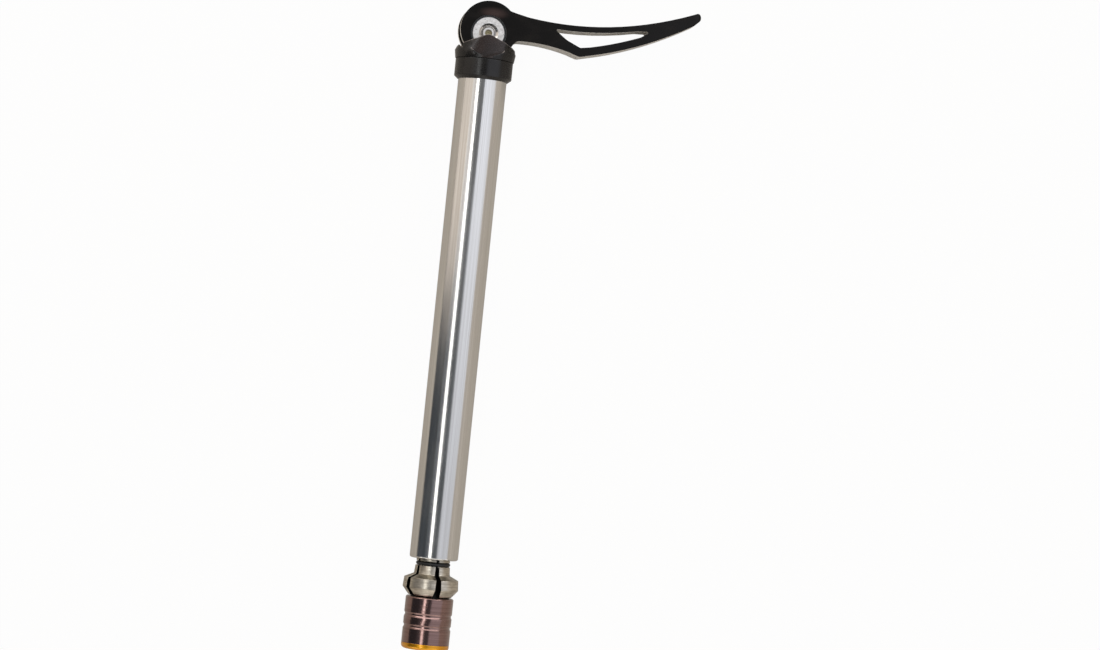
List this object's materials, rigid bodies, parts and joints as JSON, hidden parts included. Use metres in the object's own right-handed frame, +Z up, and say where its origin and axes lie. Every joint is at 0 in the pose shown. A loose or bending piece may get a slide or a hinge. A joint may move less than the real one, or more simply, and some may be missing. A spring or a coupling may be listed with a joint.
{
  "type": "bicycle thru axle",
  "caption": "Through axle for a bicycle wheel: smooth tube, cam lever with a windowed arm, and spreading jaws with a grooved grip sleeve that lock behind the far fork leg.",
  "frame": {"origin": "on the axle's own axis where the smooth tube leaves the underside of the seat collar", "axes": "+Y along the axle towards the lever end, +X towards the tip of the open lever, +Z up from the surface the axle lies on"},
  "size_m": [0.0749, 0.2042, 0.0185],
  "materials": {
    "bright_tube": "drawn and polished aluminium",
    "black_anodised": "black anodised aluminium",
    "black_lever": "gloss black over forged aluminium",
    "zinc_steel": "turned and zinc plated",
    "rod_steel": "ground steel",
    "brass_core": "turned brass",
    "satin_nickel": "satin nickel plated",
    "rubber_ring": "moulded rubber",
    "spring_wire": "drawn spring wire",
    "brown_anodised": "brown anodised aluminium",
    "gold_anodised": "gold anodised aluminium",
    "white_polymer": "moulded acetal",
    "black_polymer": "moulded acetal",
    "bronze_washer": "bronze sheet"
  },
  "bodies": {
    "axle": {"axle_tube": "bright_tube", "seat_collar": "black_anodised", "rod_guide": "white_polymer", "spring_seat": "rod_steel", "snap_ring": "spring_wire"},
    "cam_head": {"saddle_cap": "black_anodised", "cam_cradle": "black_polymer", "thrust_washer": "bronze_washer"},
    "rod": {"pull_rod": "rod_steel", "cross_pin": "zinc_steel", "pin_core": "brass_core"},
    "lever": {"lever": "black_lever", "pin_bush_front": "black_polymer", "pin_bush_rear": "black_polymer"},
    "carrier": {"jaw_carrier": "rod_steel", "jaw_ring": "rubber_ring", "carrier_spring": "spring_wire"},
    "end_cap": {"expander": "rod_steel", "grip_sleeve": "brown_anodised", "end_ring": "gold_anodised"},
    "jaw_1": {"jaw_1": "satin_nickel"},
    "jaw_2": {"jaw_2": "satin_nickel"},
    "jaw_3": {"jaw_3": "satin_nickel"},
    "jaw_4": {"jaw_4": "satin_nickel"},
    "jaw_5": {"jaw_5": "satin_nickel"}
  },
  "joints": [
    {"name": "head_turn", "type": "hinge", "parent": "axle", "child": "cam_head", "pos_m": [0, 0.0063, 0], "axis": [0, -1, 0], "range_deg": [0, 180]},
    {"name": "rod_slide", "type": "slide", "parent": "cam_head", "child": "rod", "axis": [0, 1, 0], "range_m": [0, 0.00262]},
    {"name": "lever_swing", "type": "hinge", "parent": "rod", "child": "lever", "pos_m": [0, 0.0145, 0], "axis": [0.0801, 0, 0.9968], "range_deg": [0, 180]},
    {"name": "carrier_slide", "type": "slide", "parent": "axle", "child": "carrier", "axis": [0, 1, 0], "range_m": [0, 0.00262], "deforming": ["carrier_spring"]},
    {"name": "release_slide", "type": "slide", "parent": "carrier", "child": "end_cap", "axis": [0, -1, 0], "range_m": [0, 0.005]},
    {"name": "jaw_fold_1", "type": "hinge", "parent": "carrier", "child": "jaw_1", "pos_m": [0.00376, -0.1435, 0.00298], "axis": [0.6212, 0, -0.7836], "range_deg": [0, 5.5]},
    {"name": "jaw_fold_2", "type": "hinge", "parent": "carrier", "child": "jaw_2", "pos_m": [0.004, -0.1435, -0.00266], "axis": [-0.5533, 0, -0.833], "range_deg": [0, 5.5]},
    {"name": "jaw_fold_3", "type": "hinge", "parent": "carrier", "child": "jaw_3", "pos_m": [-0.00129, -0.1435, -0.00462], "axis": [-0.9632, 0, 0.2688], "range_deg": [0, 5.5]},
    {"name": "jaw_fold_4", "type": "hinge", "parent": "carrier", "child": "jaw_4", "pos_m": [-0.0048, -0.1435, -0.0002], "axis": [-0.042, 0, 0.9991], "range_deg": [0, 5.5]},
    {"name": "jaw_fold_5", "type": "hinge", "parent": "carrier", "child": "jaw_5", "pos_m": [-0.00167, -0.1435, 0.0045], "axis": [0.9373, 0, 0.3487], "range_deg": [0, 5.5]}
  ],
  "couplings": [
    {"joint": "rod_slide", "follows": "lever_swing", "m_per_rad": 0.00083329},
    {"joint": "carrier_slide", "follows": "lever_swing", "m_per_rad": 0.00083329},
    {"joint": "release_slide", "follows": "head_turn", "m_per_rad": 0.0015915},
    {"joint": "jaw_fold_1", "follows": "head_turn", "ratio": 0.030555},
    {"joint": "jaw_fold_2", "follows": "head_turn", "ratio": 0.030555},
    {"joint": "jaw_fold_3", "follows": "head_turn", "ratio": 0.030555},
    {"joint": "jaw_fold_4", "follows": "head_turn", "ratio": 0.030555},
    {"joint": "jaw_fold_5", "follows": "head_turn", "ratio": 0.030555}
  ]
}
